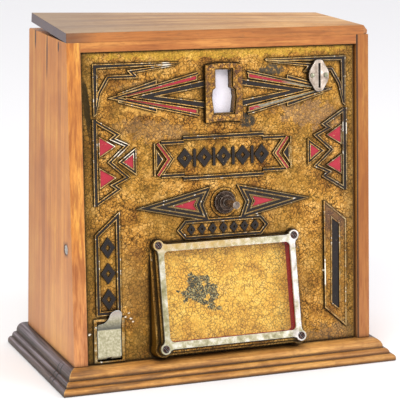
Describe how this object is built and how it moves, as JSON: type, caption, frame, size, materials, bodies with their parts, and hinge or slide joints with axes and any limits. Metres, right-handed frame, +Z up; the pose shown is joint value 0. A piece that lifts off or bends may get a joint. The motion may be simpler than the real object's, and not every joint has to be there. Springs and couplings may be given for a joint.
{
  "type": "trade stimulator",
  "caption": "Countertop vending cabinet with a leaning relief front, coin slot, turning spindle, framed glass, gum chute and hinged back door.",
  "frame": {"origin": "middle of the base on the table", "axes": "+X to the right seen from the front, +Y towards the back, +Z up"},
  "size_m": [0.313, 0.16, 0.302],
  "materials": {
    "board": "worn clear varnish",
    "board_plain": "bare softwood",
    "lid_wood": "dry, warped, unvarnished",
    "moulding_front": "worn stain",
    "moulding_side": "dark aged stain",
    "gold_paint": "crazed gold paint on a casting",
    "red_enamel": "worn enamel",
    "black_enamel": "worn enamel",
    "pane": "milky pane",
    "liner": "painted card",
    "field": "crazed gold paint",
    "glass": "clear",
    "nickel": "mottled nickel plate",
    "screw_steel": "darkened",
    "sheet": "galvanised",
    "spindle_steel": "oiled dark steel",
    "bright_steel": "bright",
    "brass": "dull",
    "brass_old": "brown with age",
    "aluminium": "cast",
    "flap_metal": "worn plating"
  },
  "bodies": {
    "cabinet": {"base_board": "board_plain", "moulding_front": "moulding_front", "moulding_left": "moulding_side", "moulding_right": "moulding_side", "moulding_back": "moulding_side", "side_board_left": "board", "side_board_right": "board", "front_rail": "board", "back_rail": "board", "lid": "lid_wood", "cleats": "board_plain", "side_screws": "screw_steel", "front_casting": "gold_paint", "red_enamel": "red_enamel", "black_enamel": "black_enamel", "window_pane": "pane", "recess_liner": "liner", "field_panel": "field", "lens_glass": "glass", "lens_frame": "nickel", "frame_screws": "screw_steel", "coin_plate": "nickel", "coin_rivets": "nickel", "coin_chute": "sheet", "coin_tray": "board_plain", "spindle_bushing": "spindle_steel", "bushing_nut": "screw_steel", "mechanism_plate": "sheet", "plate_posts": "bright_steel", "post_nuts": "screw_steel", "gum_hopper": "sheet", "gum_housing": "sheet", "gum_chute": "sheet", "gum_door_pin": "bright_steel", "gum_door_spring": "bright_steel", "idler_arbor": "bright_steel", "lever_post": "bright_steel", "hinge_leaves_fixed": "brass_old", "hinge_pins": "brass_old", "lock_strike": "bright_steel"},
    "spindle": {"spindle": "spindle_steel", "drive_gear": "brass", "lock_disc": "bright_steel"},
    "idler": {"idler_gear": "brass"},
    "gum_wheel": {"gum_arbor": "bright_steel", "gum_gear": "brass", "gum_wheel": "aluminium"},
    "lever": {"coin_lever": "brass"},
    "gum_door": {"gum_flap": "flap_metal"},
    "door": {"back_door": "board_plain", "hinge_leaves_moving": "brass_old", "lock_body": "bright_steel", "lock_nut": "bright_steel"},
    "lock": {"lock_plug": "brass", "lock_cam": "bright_steel"}
  },
  "joints": [
    {"name": "spindle_turn", "type": "hinge", "parent": "cabinet", "child": "spindle", "pos_m": [0, -0.0424, 0.14825], "axis": [0, 0.9943, -0.1068], "range_deg": [0, 360]},
    {"name": "idler_turn", "type": "hinge", "parent": "cabinet", "child": "idler", "pos_m": [-0.038, -0.00163, 0.14387], "axis": [0, 0.9943, -0.1068], "range_deg": [-400, 0]},
    {"name": "gum_wheel_turn", "type": "hinge", "parent": "cabinet", "child": "gum_wheel", "pos_m": [-0.076, -0.01257, 0.14505], "axis": [0, 0.9943, -0.1068], "range_deg": [0, 360]},
    {"name": "coin_lever_swing", "type": "hinge", "parent": "cabinet", "child": "lever", "pos_m": [0.053, -0.02265, 0.1753], "axis": [0, -0.9943, 0.1068], "range_deg": [0, 8]},
    {"name": "gum_door_swing", "type": "hinge", "parent": "cabinet", "child": "gum_door", "pos_m": [-0.1079, -0.05375, 0.02335], "axis": [1, 0, 0], "range_deg": [0, 70], "stiffness_Nm_per_rad": 0.003, "springref_deg": -34.38},
    {"name": "back_door_swing", "type": "hinge", "parent": "cabinet", "child": "door", "pos_m": [-0.1275, 0.0742, 0.15], "axis": [0, 0, 1], "range_deg": [0, 110]},
    {"name": "lock_turn", "type": "hinge", "parent": "door", "child": "lock", "pos_m": [0.096, 0.0715, 0.168], "axis": [0, 1, 0], "range_deg": [0, 90]}
  ],
  "couplings": [
    {"joint": "idler_turn", "follows": "spindle_turn", "ratio": -1.1111},
    {"joint": "gum_wheel_turn", "follows": "spindle_turn", "ratio": 1}
  ]
}
